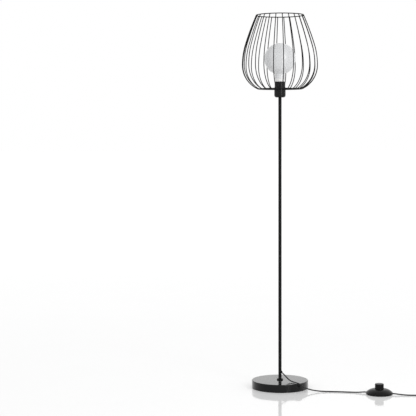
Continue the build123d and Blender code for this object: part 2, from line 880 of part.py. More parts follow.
with BuildPart() as switch_spring:
    spring_foot = block_top + spring_wire / 2
    spring_head = button_ceiling - spring_wire / 2
    with BuildLine() as spring_path:
        Helix(
            pitch=(spring_head - spring_foot) / spring_turns,
            height=spring_head - spring_foot,
            radius=spring_diameter / 2,
            center=switch_centre + Vector(0, 0, spring_foot),
        )
    with BuildSketch(Plane(origin=spring_path.line @ 0, z_dir=spring_path.line % 0)):
        Circle(spring_wire / 2)
    sweep(is_frenet=True)
save("switch_spring", switch_spring)

# ---------------------------------------------------------------- cord on the floor
port_in = switch_centre - switch_along * (block_length / 2) + Vector(0, 0, port_height)
port_out = switch_centre + switch_along * (block_length / 2) + Vector(0, 0, port_height)
rim_in = switch_centre - switch_along * (switch_radius + port_lead) + Vector(0, 0, port_height)
rim_out = switch_centre + switch_along * (switch_radius + port_lead) + Vector(0, 0, port_height)
exit_end = exit_point + exit_direction * exit_lead
to_switch_points = [tuple(exit_point), tuple(exit_end)] + to_switch_route
to_switch_points += [tuple(rim_in), tuple(port_in)]
to_switch_radii = bend_radii(to_switch_points)
with BuildPart() as cord_to_switch:
    with BuildLine() as to_switch_path:
        FilletPolyline(*to_switch_points, radius=to_switch_radii)
    with BuildSketch(Plane(origin=to_switch_path.line @ 0, z_dir=to_switch_path.line % 0)):
        Circle(cord_radius)
    sweep()
report_tube("cord_to_switch", to_switch_path.wire(), to_switch_radii, cord_to_switch.part)
save("cord_to_switch", cord_to_switch)

coil_start = Vector(coil_x - cord_diameter, coil_y - coil_radius, coil_height)
coil_approach = coil_start - Vector(coil_lead, 0, 0)
from_switch_points = [tuple(port_out), tuple(rim_out)] + from_switch_route
from_switch_points += [tuple(coil_approach), tuple(coil_start)]
from_switch_radii = bend_radii(from_switch_points)
with BuildPart() as cord_from_switch:
    with BuildLine() as from_switch_path:
        FilletPolyline(*from_switch_points, radius=from_switch_radii)
    with BuildSketch(Plane(origin=from_switch_path.line @ 0, z_dir=from_switch_path.line % 0)):
        Circle(cord_radius)
    sweep()
report_tube("cord_from_switch", from_switch_path.wire(), from_switch_radii, cord_from_switch.part)
save("cord_from_switch", cord_from_switch)

# The coil winds in on the floor, climbs one layer in the innermost half turn and winds out.
with BuildPart() as cord_coil:
    with BuildLine() as coil_path:
        place = Vector(coil_x, coil_y - coil_radius, coil_height)
        Line(coil_start, place)
        heading = 1
        radius = coil_radius
        for half in range(coil_lower_halves):
            finish = place + Vector(0, 2 * heading * radius, 0)
            ThreePointArc(place, place + Vector(heading * radius, heading * radius, 0), finish)
            place = finish
            heading = -heading
            radius -= coil_pitch / 2
        climb_reach = sqrt(radius**2 + (coil_pitch / 2) ** 2)
        climb_middle = place + Vector(heading * climb_reach, heading * radius, coil_pitch / 2)
        finish = place + Vector(0, 2 * heading * radius, coil_pitch)
        TangentArc(place, climb_middle, tangent=(heading, 0, 0))
        TangentArc(climb_middle, finish, tangent=(0, heading * radius, coil_pitch / 2))
        place = finish
        heading = -heading
        for half in range(coil_upper_halves):
            radius += coil_pitch / 2
            finish = place + Vector(0, 2 * heading * radius, 0)
            ThreePointArc(place, place + Vector(heading * radius, heading * radius, 0), finish)
            place = finish
            heading = -heading
        Line(place, place + Vector(cord_diameter, 0, 0))
    with BuildSketch(Plane(origin=coil_path.line @ 0, z_dir=coil_path.line % 0)):
        Circle(cord_radius)
    sweep()
coil_end = coil_path.line @ 1
report_tube("cord_coil", coil_path.wire(), [radius], cord_coil.part)
save("cord_coil", cord_coil)

# Points along the coil give its least gap to itself, past its own bend.
sample_step = 2.0
bend_length = 20.0
coil_wire = coil_path.wire()
sample_count = int(coil_wire.length / sample_step)
samples = [coil_wire @ (index / sample_count) for index in range(sample_count + 1)]
apart = int(bend_length / sample_step)
least = min(
    (samples[one] - samples[other]).length
    for one in range(len(samples))
    for other in range(one + apart, len(samples))
)
print(f"cord_coil: least gap to itself {least - cord_diameter:.2f}")

coil_leave = coil_end + Vector(tail_lead, 0, 0)
plug_start = Vector(plug_x, plug_y, plug_thickness / 2)
plug_approach = plug_start - Vector(0, plug_lead, 0)
tail_points = [tuple(coil_end), tuple(coil_leave)] + tail_route
tail_points += [tuple(plug_approach), tuple(plug_start)]
tail_radii = bend_radii(tail_points)
with BuildPart() as cord_tail:
    with BuildLine() as tail_path:
        FilletPolyline(*tail_points, radius=tail_radii)
    with BuildSketch(Plane(origin=tail_path.line @ 0, z_dir=tail_path.line % 0)):
        Circle(cord_radius)
    sweep()
report_tube("cord_tail", tail_path.wire(), tail_radii, cord_tail.part)
save("cord_tail", cord_tail)

with BuildPart() as cord_tie:
    strands = (coil_lower_halves - 1) / 2
    bundle_width = strands * coil_pitch + cord_diameter + 2 * tie_side_gap
    bundle_height = coil_pitch + cord_diameter + 2 * tie_gap
    bundle_y = coil_y + coil_radius - strands * coil_pitch / 2
    bundle_z = coil_height + coil_pitch / 2
    with BuildSketch(Plane.YZ.offset(coil_x - tie_width / 2)):
        with Locations((bundle_y, bundle_z)):
            outside = (bundle_width + 2 * tie_wall, bundle_height + 2 * tie_wall)
            RectangleRounded(*outside, tie_corner + tie_wall)
            RectangleRounded(bundle_width, bundle_height, tie_corner, mode=Mode.SUBTRACT)
    extrude(amount=tie_width)
save("cord_tie", cord_tie)

# ---------------------------------------------------------------- plug
plug_foot = plug_y + sleeve_length
plug_face = plug_foot + plug_length
plug_middle = plug_thickness / 2
plug_corner = (plug_thickness - plug_side_flat) / 2


def plug_level(distance):
    """The plane across the plug at a place along +Y, with x along the row of pins."""
    return Plane(origin=(plug_x, distance, plug_middle), x_dir=(-1, 0, 0), z_dir=(0, 1, 0))


with BuildPart() as plug_sleeve:
    with BuildSketch(plug_level(plug_y)):
        Circle(cord_radius + sleeve_wall)
    with BuildSketch(plug_level(plug_foot)):
        Circle(plug_middle - sleeve_step)
    loft()
save("plug_sleeve", plug_sleeve)

with BuildPart() as plug_body:
    with BuildSketch(plug_level(plug_foot)):
        RectangleRounded(plug_shoulder, plug_thickness, plug_corner)
    with BuildSketch(plug_level(plug_foot + plug_length / 2)):
        RectangleRounded(plug_width, plug_thickness, plug_corner)
    loft()
    with BuildSketch(plug_level(plug_foot + plug_length / 2)):
        RectangleRounded(plug_width, plug_thickness, plug_corner)
    extrude(amount=plug_length / 2)
    fillet(plug_body.faces().sort_by(Axis.Y)[-1].edges(), plug_edge)
save("plug_body", plug_body)

with BuildPart() as plug_pins:
    with BuildSketch(plug_level(plug_face)):
        with Locations((-pin_spacing / 2, 0), (pin_spacing / 2, 0)):
            Circle(pin_diameter / 2)
    extrude(amount=pin_length)
    fillet(plug_pins.edges().group_by(Axis.Y)[-1], pin_diameter / 2 - pin_nose_flat)
save("plug_pins", plug_pins)
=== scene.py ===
"""Wire cage floor lamp: its finishes, its cord and its studio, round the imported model.

Metres, +Z up. The origin is the centre of the base's underside, and the lamp is seen along +Y.
"""
from math import cos, pi, radians, sin, sqrt

import bmesh
import bpy
from mathutils import Matrix, Vector


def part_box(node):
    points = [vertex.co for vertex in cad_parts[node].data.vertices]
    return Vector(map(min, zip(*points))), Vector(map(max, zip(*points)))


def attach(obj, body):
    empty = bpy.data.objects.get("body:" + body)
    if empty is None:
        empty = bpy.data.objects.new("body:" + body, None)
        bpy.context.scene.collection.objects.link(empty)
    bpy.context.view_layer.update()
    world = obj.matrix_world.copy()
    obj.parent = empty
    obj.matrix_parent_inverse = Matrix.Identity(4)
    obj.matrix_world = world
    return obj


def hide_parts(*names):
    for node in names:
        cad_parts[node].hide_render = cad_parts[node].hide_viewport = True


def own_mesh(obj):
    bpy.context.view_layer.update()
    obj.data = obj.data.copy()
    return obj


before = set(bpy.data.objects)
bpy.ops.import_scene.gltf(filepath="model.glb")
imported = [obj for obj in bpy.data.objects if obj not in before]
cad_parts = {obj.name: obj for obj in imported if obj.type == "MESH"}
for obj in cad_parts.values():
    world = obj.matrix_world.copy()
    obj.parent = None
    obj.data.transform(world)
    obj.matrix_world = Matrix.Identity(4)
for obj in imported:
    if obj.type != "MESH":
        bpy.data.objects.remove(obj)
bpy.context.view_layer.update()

# ---------------------------------------------------------------- camera
# A long lens at chest height looks straight along +Y at the lamp. It is turned a little to the
# left and tipped down, so that the lamp stands right of the picture's middle and fills its height.
picture_side = 416.0
lamp_distance = 5.223
eye_height = 1.0363
focal_length = 1300.0
turned_left = 0.05539
tipped_down = 0.05878
rolled = -0.00333

level_ahead = Vector((-sin(turned_left), cos(turned_left), 0))
level_right = Vector((cos(turned_left), sin(turned_left), 0))
straight_up = Vector((0, 0, 1))
ahead = level_ahead * cos(tipped_down) - straight_up * sin(tipped_down)
upward = straight_up * cos(tipped_down) + level_ahead * sin(tipped_down)
camera_right = level_right * cos(rolled) + upward * sin(rolled)
camera_up = upward * cos(rolled) - level_right * sin(rolled)

camera_data = bpy.data.cameras.new("camera")
camera_data.sensor_width = 36.0
camera_data.lens = camera_data.sensor_width * focal_length / picture_side
camera = bpy.data.objects.new("camera", camera_data)
camera_axes = Matrix((camera_right, camera_up, -ahead)).transposed()
camera.matrix_world = Matrix.Translation((0, -lamp_distance, eye_height)) @ camera_axes.to_4x4()
bpy.context.scene.collection.objects.link(camera)
bpy.context.scene.camera = camera

# ---------------------------------------------------------------- mains cord
# A round black cord with a smooth jacket of soft plastic. It leaves the pole through a grommet,
# comes down over the base's rim, runs through the foot switch and ends in a tied coil and a plug.
mm = 0.001


class Shade:
    """A socket of a finish: arithmetic on it adds the nodes, and feeds() gives it to the shader."""

    def __init__(self, tree, socket):
        self.tree = tree
        self.socket = socket

    def node(self, kind, settings, values, output=0):
        """Add a node: its settings first, then the value or link of each of its sockets."""
        made = self.tree.nodes.new("ShaderNode" + kind)
        for setting, value in settings.items():
            setattr(made, setting, value)
        for socket, value in values.items():
            if isinstance(value, Shade):
                self.tree.links.new(value.socket, made.inputs[socket])
            else:
                made.inputs[socket].default_value = value
        return Shade(self.tree, made.outputs[output])

    def maths(self, operation, first, second=0.0):
        return self.node("Math", {"operation": operation}, {0: first, 1: second})

    def __add__(self, other):
        return self.maths("ADD", self, other)

    def __rsub__(self, other):
        return self.maths("SUBTRACT", other, self)

    def __mul__(self, other):
        return self.maths("MULTIPLY", self, other)

    __radd__ = __add__
    __rmul__ = __mul__

    def axis(self, number):
        """One coordinate of a place: 0 across, 1 away from the viewer, 2 up."""
        return self.node("SeparateXYZ", {}, {0: self}, number)

    def noise(self, scale, detail=2.0):
        """Grain over the surface, from 0 to 1; scale is grains per metre."""
        return self.node("TexNoise", {}, {"Vector": self, "Scale": scale, "Detail": detail})

    def ramp(self, low, high):
        """0 up to low, 1 from high, and smooth between them."""
        settings = {"interpolation_type": "SMOOTHSTEP"}
        return self.node("MapRange", settings, {"Value": self, "From Min": low, "From Max": high})

    def colours(self, low, high):
        """The colour at this share of the way from low to high."""
        values = {0: self, 6: (*low, 1), 7: (*high, 1)}
        return self.node("Mix", {"data_type": "RGBA"}, values, 2)

    def raises(self, height):
        """Bump the surface by this share of a height in metres."""
        self.node("Bump", {}, {"Height": self, "Distance": height}).feeds("Normal")

    def feeds(self, name):
        self.tree.links.new(self.socket, self.tree.nodes["Principled BSDF"].inputs[name])


def new_finish(name, **constants):
    """A material with its constant values set, and the place on the object to vary it by."""
    finish = bpy.data.materials.new(name)
    finish.use_nodes = True
    tree = finish.node_tree
    shader = tree.nodes["Principled BSDF"]
    for socket, value in constants.items():
        shader.inputs[socket.replace("_", " ")].default_value = value
    coordinates = tree.nodes.new("ShaderNodeTexCoord")
    return finish, Shade(tree, coordinates.outputs["Object"])


cord_jacket, place = new_finish("cord_jacket", Specular_IOR_Level=0.3)
smears = place.noise(60.0)
smears.colours((0.008, 0.008, 0.009), (0.014, 0.014, 0.015)).feeds("Base Color")
(0.36 + 0.14 * smears).feeds("Roughness")
place.noise(1600.0).raises(0.03 * mm)

cord_width = 5.0 * mm
floor_height = 2.55 * mm
exit_azimuth = radians(-50.0)
exit_fall = radians(22.0)
exit_direction = Vector((
    cos(exit_azimuth) * cos(exit_fall),
    sin(exit_azimuth) * cos(exit_fall),
    -sin(exit_fall),
))
exit_corner = Vector((0, 0, 68.0 * mm))
exit_reach = 10.0 * mm
exit_straight = 13.0 * mm
exit_point = exit_corner + exit_direction * exit_reach
exit_end = exit_point + exit_direction * exit_straight

switch_centre = Vector((391.0, -121.0, 0)) * mm
switch_azimuth = radians(-14.5)
switch_along = Vector((cos(switch_azimuth), sin(switch_azimuth), 0))
port_rise = Vector((0, 0, 6.2 * mm))
to_port = switch_along * 18.0 * mm
past_rim = switch_along * 54.0 * mm
port_in = switch_centre - to_port + port_rise
rim_in = switch_centre - past_rim + port_rise
port_out = switch_centre + to_port + port_rise
rim_out = switch_centre + past_rim + port_rise

to_switch_route = [
    (0.0265, -0.0315, 0.0480),
    (0.0385, -0.0465, 0.0385),
    (0.0520, -0.0640, 0.0358),
    (0.0690, -0.0860, 0.0351),
    (0.0760, -0.0930, 0.0338),
    (0.0880, -0.0950, 0.0255),
    (0.1000, -0.0942, 0.0175),
    (0.1190, -0.0930, 0.0108),
    (0.1390, -0.0902, 0.0066),
    (0.1630, -0.0872, 0.0034),
    (0.1970, -0.0864, floor_height),
    (0.2400, -0.0896, floor_height),
    (0.2810, -0.0958, floor_height),
    (0.3080, -0.1014, 0.0032),
    (0.3240, -0.1048, 0.0052),
]
from_switch_route = [
    (0.4550, -0.1376, 0.0056),
    (0.4740, -0.1422, 0.0036),
    (0.5020, -0.1464, floor_height),
    (0.5360, -0.1484, 0.0027),
]
tail_route = [
    (0.6480, -0.1406, 0.0062),
    (0.6640, -0.1320, 0.0036),
    (0.6746, -0.1170, 0.0030),
    (0.6784, -0.1000, 0.0046),
]
coil_centre = Vector((596.0, -108.8, 3.5)) * mm
coil_radius = 39.25 * mm
coil_pitch = 5.5 * mm
coil_lower_halves = 7
coil_upper_halves = 6
steps_in_half_turn = 12
plug_start = Vector((679.0, -74.0, 6.85)) * mm


def coil_points():
    """Points round the coil: in on the floor, up one layer in the innermost turn, out again."""
    points = []
    radius = coil_radius
    middle = Vector(coil_centre)
    side = -1
    for half in range(coil_lower_halves + 1 + coil_upper_halves):
        climbs = half == coil_lower_halves
        if half > coil_lower_halves:
            radius += coil_pitch / 2
        middle.y = end_of_half.y - side * radius if half else coil_centre.y
        for step in range(steps_in_half_turn):
            share = (step + 0.5) / steps_in_half_turn
            turn = pi * share
            rise = coil_pitch * share if climbs else 0.0
            reach = radius / cos(pi / steps_in_half_turn / 2)
            points.append(middle + Vector((-side * sin(turn), side * cos(turn), 0)) * reach
                          + Vector((0, 0, rise)))
        end_of_half = middle - Vector((0, side * radius, 0))
        if climbs:
            middle.z += coil_pitch
        if half < coil_lower_halves:
            radius -= coil_pitch / 2
        side = -side
    return points


def new_cord(name, points):
    """A round cord on one smooth line drawn through the neighbourhood of its points."""
    curve = bpy.data.curves.new(name, "CURVE")
    curve.dimensions = "3D"
    curve.bevel_depth = cord_width / 2
    curve.bevel_resolution = 6
    curve.resolution_u = 8
    curve.use_fill_caps = True
    spline = curve.splines.new("NURBS")
    spline.points.add(len(points) - 1)
    for control, point in zip(spline.points, points):
        control.co = (*point, 1)
    spline.order_u = 3
    spline.use_endpoint_u = True
    curve.materials.append(cord_jacket)
    cord = bpy.data.objects.new(name, curve)
    bpy.context.scene.collection.objects.link(cord)
    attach(cord, "stand")
    return cord


lamp_cord = new_cord(
    "lamp_to_switch_cord", [exit_point, exit_end, *to_switch_route, rim_in, port_in]
)
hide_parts("cord_to_switch")

turns = coil_points()
coil_overlap = 5.0 * mm
coil_lead_in = Vector((32.0, 0, 0)) * mm
coil_lead_out = Vector((22.0, 0, 0)) * mm
plug_lead_in = Vector((0, 12.0, 0)) * mm
coil_start = coil_centre - Vector((coil_overlap, coil_radius, 0))
coil_approach = coil_start - coil_lead_in
coil_end = Vector((601.0, -142.55, 9.0)) * mm
coil_leave = coil_end + coil_lead_out
plug_approach = plug_start - plug_lead_in
mains_cord = new_cord(
    "switch_to_plug_cord",
    [port_out, rim_out, *from_switch_route, coil_approach, coil_start, *turns,
     coil_end, coil_leave, *tail_route, plug_approach, plug_start],
)
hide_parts("cord_from_switch", "cord_coil", "cord_tail")

# ---------------------------------------------------------------- base
# A low round foot: a spun steel cover in satin black powder coat over a concrete weight. A nut
# under the weight pulls the pole's nipple down, and a rubber pad keeps the steel off the floor.


def dress(finish, *names):
    """Give a finish to nodes that keep the shape they have."""
    for name in names:
        for slot in bpy.data.objects[name].material_slots:
            slot.material = finish


satin_powder, place = new_finish(
    "satin_powder", IOR=1.17, Coat_Weight=1.0, Coat_IOR=1.2, Coat_Roughness=0.1,
    Sheen_Weight=0.12, Sheen_Roughness=0.2,
)
wiped = place.noise(14.0, 4.0)
wiped.colours((0.004, 0.004, 0.0045), (0.008, 0.008, 0.008)).feeds("Base Color")
(0.16 + 0.12 * wiped).feeds("Roughness")
place.noise(850.0).raises(0.02 * mm)
dress(satin_powder, "base_cover")

cast_concrete, place = new_finish("cast_concrete", Specular_IOR_Level=0.3)
sand = place.noise(300.0, 6.0)
sand.colours((0.34, 0.33, 0.31), (0.48, 0.47, 0.45)).feeds("Base Color")
(0.78 + 0.16 * sand).feeds("Roughness")
sand.raises(0.4 * mm)
dress(cast_concrete, "base_weight")

black_rubber, place = new_finish("black_rubber", Specular_IOR_Level=0.3)
bloom = place.noise(90.0, 4.0)
bloom.colours((0.016, 0.016, 0.016), (0.032, 0.032, 0.031)).feeds("Base Color")
(0.66 + 0.2 * bloom).feeds("Roughness")
place.noise(2600.0).raises(0.04 * mm)
dress(black_rubber, "base_pad", "switch_feet")

zinc_plate, place = new_finish("zinc_plate", Metallic=1.0)
spangle = place.noise(420.0, 3.0)
spangle.colours((0.56, 0.58, 0.60), (0.74, 0.74, 0.70)).feeds("Base Color")
(0.24 + 0.2 * spangle).feeds("Roughness")
place.noise(1800.0).raises(0.01 * mm)
dress(zinc_plate, "base_washer", "base_nut", "base_nipple")

# ---------------------------------------------------------------- pole
# Three steel tubes screwed together end to end, in matt black powder coat, on a turned collar.
# The cord runs up inside, and leaves through a moulded grommet in the lowest tube.
matt_powder, place = new_finish("matt_powder", IOR=1.17)
cast_on = place.noise(35.0, 4.0)
cast_on.colours((0.008, 0.008, 0.008), (0.013, 0.0127, 0.0124)).feeds("Base Color")
(0.34 + 0.12 * cast_on).feeds("Roughness")
place.noise(1400.0).raises(0.015 * mm)
dress(matt_powder, "pole_collar", "pole_lower", "pole_middle", "pole_upper")
dress(zinc_plate, "pole_joiners")

moulded_black, place = new_finish("moulded_black", IOR=1.26)
flow = place.noise(160.0, 3.0)
flow.colours((0.005, 0.005, 0.0055), (0.009, 0.009, 0.009)).feeds("Base Color")
(0.12 + 0.10 * flow).feeds("Roughness")
place.noise(3200.0).raises(0.02 * mm)
dress(moulded_black, "cord_grommet")
dress(cord_jacket, "riser_cord")

# ---------------------------------------------------------------- lamp holder
# A ribbed cup and skirt of moulded black plastic round a white ceramic core. The core carries the
# nickel screw shell, the brass tongue and two terminals, and a ribbed ring clamps the cage on it.
dress(moulded_black, "holder_cup", "holder_skirt", "shade_ring")
dress(zinc_plate, "holder_nipple", "holder_nut")

bare_ceramic, place = new_finish("bare_ceramic", Specular_IOR_Level=0.4)
fired = place.noise(220.0, 5.0)
fired.colours((0.80, 0.79, 0.76), (0.88, 0.87, 0.845)).feeds("Base Color")
(0.50 + 0.2 * fired).feeds("Roughness")
place.noise(3000.0, 4.0).raises(0.05 * mm)
dress(bare_ceramic, "holder_core")

nickel_plate, place = new_finish("nickel_plate", Metallic=1.0)
rubbed = place.noise(500.0, 4.0)
rubbed.colours((0.62, 0.60, 0.56), (0.78, 0.76, 0.72)).feeds("Base Color")
(0.16 + 0.16 * rubbed).feeds("Roughness")
rubbed.raises(0.01 * mm)
dress(nickel_plate, "holder_screw_shell")

plain_brass, place = new_finish("plain_brass", Metallic=1.0)
tarnish = place.noise(380.0, 5.0)
tarnish.colours((0.74, 0.53, 0.25), (0.55, 0.38, 0.18)).feeds("Base Color")
(0.22 + 0.25 * tarnish).feeds("Roughness")
tarnish.raises(0.02 * mm)
dress(plain_brass, "holder_contact", "holder_terminals", "bulb_contact")

lead_jacket, place = new_finish("lead_jacket", Roughness=0.4)
which_lead = place.axis(1).ramp(-0.2 * mm, 0.2 * mm)
which_lead.colours((0.16, 0.06, 0.03), (0.03, 0.10, 0.36)).feeds("Base Color")
place.noise(2400.0).raises(0.02 * mm)
dress(lead_jacket, "holder_leads")

# ---------------------------------------------------------------- cage
# Twenty-four bent steel rods between two welded rings, on three spokes under a pressed plate.
# It is welded up by hand, so every joint has a small fillet, and then powder coated all over.
dress(matt_powder, "cage_wires", "cage_top_ring", "cage_bottom_ring", "cage_spokes", "cage_plate")


def new_piece(name, shape, finish, body, crease=40.0):
    """A piece of points and faces, smooth but for edges that turn by more than the crease."""
    vertices, faces = shape
    mesh = bpy.data.meshes.new(name)
    mesh.from_pydata(vertices, [], faces)
    form = bmesh.new()
    form.from_mesh(mesh)
    bmesh.ops.remove_doubles(form, verts=form.verts, dist=0.002 * mm)
    bmesh.ops.recalc_face_normals(form, faces=form.faces)
    form.to_mesh(mesh)
    form.free()
    mesh.shade_smooth()
    mesh.set_sharp_from_angle(angle=radians(crease))
    mesh.materials.append(finish)
    piece = bpy.data.objects.new(name, mesh)
    bpy.context.scene.collection.objects.link(piece)
    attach(piece, body)
    return piece


def loft(rings, closed=False):
    """Faces between rings of as many points each: capped at both ends, or joined end to end."""
    count = len(rings[0])
    vertices = [point for ring in rings for point in ring]
    faces = []
    if not closed:
        faces += [range(count), range(len(vertices) - count, len(vertices))]
    for number in range(len(rings) - (0 if closed else 1)):
        start = number * count
        other = (number + 1) % len(rings) * count
        for corner in range(count):
            after = (corner + 1) % count
            faces.append((start + corner, start + after, other + after, other + corner))
    return vertices, faces


def joined(shapes):
    """Several shapes as the points and faces of one."""
    vertices, faces = [], []
    for points, sides in shapes:
        faces += [[len(vertices) + corner for corner in side] for side in sides]
        vertices += points
    return vertices, faces


# A weld's outline, in millimetres: how far along the rod, and how far out from its middle.
weld_outline = [(0.8, 3.0), (1.3, 2.8), (1.8, 2.4), (2.3, 2.1), (2.9, 1.9), (3.6, 1.72)]
weld_points = 20
weld_narrow = 0.25
rod_core = 1.6
bead_depth = 0.03
beads = 5
bead_drift = 900


def weld(joint, direction, along):
    """A fillet round a rod that leaves a joint, long in one direction and narrow across it."""
    across = direction.cross(along)
    rings = []
    for reach, radius in weld_outline:
        narrow = rod_core + (radius - rod_core) * weld_narrow
        ring = []
        for number in range(weld_points):
            turn = 2 * pi * number / weld_points
            wobble = 1 + bead_depth * sin(beads * turn + bead_drift * joint.x)
            side = along * radius * cos(turn) * wobble + across * narrow * sin(turn)
            ring.append(joint + (direction * reach + side) * mm)
        rings.append(ring)
    return loft(rings)


def ring_line(name):
    """The radius and the height of the line that a ring's wire follows."""
    lowest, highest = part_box(name)
    wire = highest[2] - lowest[2]
    return highest[0] - wire / 2, highest[2] - wire / 2


rods = 24
facing_viewer = -90.0
first_rod = radians(5.5 + facing_viewer)
ring_low = ring_line("cage_bottom_ring")
ring_high = ring_line("cage_top_ring")
low_slope = Vector((0.917, 0, 0.398)).normalized()
high_slope = Vector((0.170, 0, -0.985)).normalized()
welds = []
for number in range(rods):
    about = Matrix.Rotation(first_rod + 2 * pi * number / rods, 3, "Z")
    tangent = about @ Vector((0, 1, 0))
    for (across, up), slope in ((ring_low, low_slope), (ring_high, high_slope)):
        welds.append(weld(about @ Vector((across, 0, up)), about @ slope, tangent))
spokes = 3
for number in range(spokes):
    about = Matrix.Rotation(pi / 2 + 2 * pi * number / spokes, 3, "Z")
    outward, tangent = about @ Vector((1, 0, 0)), about @ Vector((0, 1, 0))
    welds.append(weld(about @ Vector((ring_low[0], 0, ring_low[1])), -outward, tangent))
new_piece("cage_welds", joined(welds), matt_powder, "cage")

# ---------------------------------------------------------------- bulb
# A large opal glass globe with a short neck in a white plastic collar. Its nickelled cap has a
# rolled thread that screws into the holder, and a light board and driver stand inside it.
opal_glass, place = new_finish("opal_glass", IOR=1.4, Coat_Weight=0.5, Coat_Roughness=0.2)
cloud = place.noise(30.0, 3.0)
cloud.colours((0.79, 0.797, 0.81), (0.82, 0.828, 0.84)).feeds("Base Color")
(0.28 + 0.06 * place.noise(40.0)).feeds("Roughness")
place.noise(25.0).raises(0.05 * mm)
dress(opal_glass, "bulb_globe")

white_plastic, place = new_finish("white_plastic", Specular_IOR_Level=0.4)
sheen = place.noise(120.0, 3.0)
sheen.colours((0.93, 0.93, 0.925), (0.95, 0.95, 0.945)).feeds("Base Color")
(0.30 + 0.15 * sheen).feeds("Roughness")
place.noise(2600.0).raises(0.02 * mm)
dress(white_plastic, "bulb_collar")

cap_glass, place = new_finish("cap_glass", Roughness=0.08)
place.noise(300.0, 4.0).colours((0.010, 0.008, 0.016), (0.03, 0.02, 0.04)).feeds("Base Color")
dress(cap_glass, "bulb_insulator")

masked_board, place = new_finish("masked_board", Coat_Weight=0.3)
dots = place.node("TexVoronoi", {}, {"Vector": place, "Scale": 170.0}).ramp(0.30, 0.34)
dots.colours((0.85, 0.62, 0.12), (0.80, 0.81, 0.82)).feeds("Base Color")
(0.30 + 0.25 * dots).feeds("Roughness")
dress(masked_board, "bulb_light_board")

potting, place = new_finish("potting", Specular_IOR_Level=0.4)
place.noise(500.0, 6.0).colours((0.05, 0.05, 0.048), (0.11, 0.105, 0.10)).feeds("Base Color")
(0.45 + 0.3 * place.noise(260.0)).feeds("Roughness")
place.noise(700.0, 4.0).raises(0.2 * mm)
dress(potting, "bulb_driver")

cap_foot = 1210.0
cap_top = 1236.15
cap_root = 12.35
cap_bore = 11.75
cap_lip = 11.15
cap_lip_top = cap_foot + 0.6
thread_depth = 0.7
thread_pitch = 3.629
thread_foot = 1211.6
thread_head = 1232.6
thread_fade = 1.2
cap_sides = 96
cap_levels = 150


def thread_height(up, turn):
    """How far the rolled thread stands out at a height and a turn, fading out at both ends."""
    phase = (up - thread_foot) / thread_pitch - turn / (2 * pi)
    inside = min(up - thread_foot, thread_head - up) / thread_fade
    fade = max(0.0, min(1.0, inside))
    return thread_depth * fade * (0.5 - 0.5 * cos(2 * pi * phase))


slices = []
for side in range(cap_sides):
    turn = 2 * pi * side / cap_sides
    outline = []
    for level in range(cap_levels + 1):
        up = cap_foot + (cap_top - cap_foot) * level / cap_levels
        outline.append((cap_root + thread_height(up, turn), up))
    outline += [(cap_bore, cap_top), (cap_bore, cap_lip_top), (cap_lip, cap_lip_top),
                (cap_lip, cap_foot)]
    slices.append([Vector((across * cos(turn), across * sin(turn), up)) * mm
                   for across, up in outline])
bulb_thread = new_piece("bulb_screw_cap", loft(slices, closed=True), nickel_plate, "bulb")
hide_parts("bulb_cap")

# ---------------------------------------------------------------- foot switch
# A round domed case of moulded black plastic on a screwed base plate with four rubber feet. A tall
# round button stands in its collar on a spring, over the contact block between two cord clamps.
switch_case, place = new_finish("switch_case", IOR=1.15, Coat_Weight=0.5, Coat_IOR=1.26)
handled = place.noise(40.0, 4.0)
handled.colours((0.003, 0.0028, 0.0028), (0.007, 0.0066, 0.0063)).feeds("Base Color")
(0.30 + 0.14 * handled).feeds("Roughness")
place.noise(2200.0).raises(0.03 * mm)
dress(switch_case, "switch_dome", "switch_plate", "switch_clamps")

button_plastic, place = new_finish("button_plastic", IOR=1.22)
# Painted reflection: random grain on the button's top is painted lighter than its dark sides,
# standing in for the grazing reflection of the bright floor and tent; it also roughens the top.
painted_top_reflection = place.noise(110.0, 5.0) * place.axis(2).ramp(39.0 * mm, 42.5 * mm)
painted_top_reflection.colours((0.004, 0.0038, 0.004), (0.064, 0.061, 0.063)).feeds("Base Color")
(0.20 + 0.2 * painted_top_reflection).feeds("Roughness")
place.noise(1500.0).raises(0.03 * mm)
dress(button_plastic, "switch_button")

block_resin, place = new_finish("block_resin", Specular_IOR_Level=0.4)
place.noise(400.0, 5.0).colours((0.54, 0.52, 0.46), (0.63, 0.61, 0.55)).feeds("Base Color")
(0.45 + 0.2 * place.noise(300.0)).feeds("Roughness")
place.noise(1200.0).raises(0.04 * mm)
dress(block_resin, "switch_contact_block")
dress(zinc_plate, "switch_screws")

spring_lowest, spring_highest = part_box("switch_spring")
spring_wire = 1.0 * mm
spring_radius = 5.0 * mm
spring_turns = 6
spring_steps = 24
spring_sides = 10
spring_foot = spring_lowest.z + spring_wire / 2
spring_length = spring_highest.z - spring_lowest.z - spring_wire
sections = []
for number in range(spring_turns * spring_steps + 1):
    turn = 2 * pi * number / spring_steps
    outward = Vector((cos(turn), sin(turn), 0))
    rise = spring_foot + spring_length * number / (spring_turns * spring_steps)
    middle = switch_centre + outward * spring_radius + straight_up * rise
    section = []
    for side in range(spring_sides):
        about = 2 * pi * side / spring_sides
        section.append(middle + (outward * cos(about) + straight_up * sin(about)) * spring_wire / 2)
    sections.append(section)
return_spring = new_piece("return_spring", loft(sections), zinc_plate, "stand")
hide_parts("switch_spring")
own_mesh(return_spring)

# ---------------------------------------------------------------- plug and tie
# A flat two-pin plug moulded on the cord, with grip ridges and a ribbed sleeve, and nickelled pins
# with black insulating sleeves. A nylon tie holds the coil.
plug_x = 679.0
plug_middle = 6.85
corner_steps = 8


def plug_section(width, height, radius, distance):
    """A rounded oblong across the plug, at a place along it."""
    ring = []
    for corner in range(4):
        x = (width / 2 - radius) * (1 if corner in (0, 3) else -1)
        z = (height / 2 - radius) * (1 if corner < 2 else -1)
        for step in range(corner_steps + 1):
            turn = (corner + step / corner_steps) * pi / 2
            ring.append(Vector((plug_x + x + radius * cos(turn), distance,
                                plug_middle + z + radius * sin(turn))) * mm)
    return ring


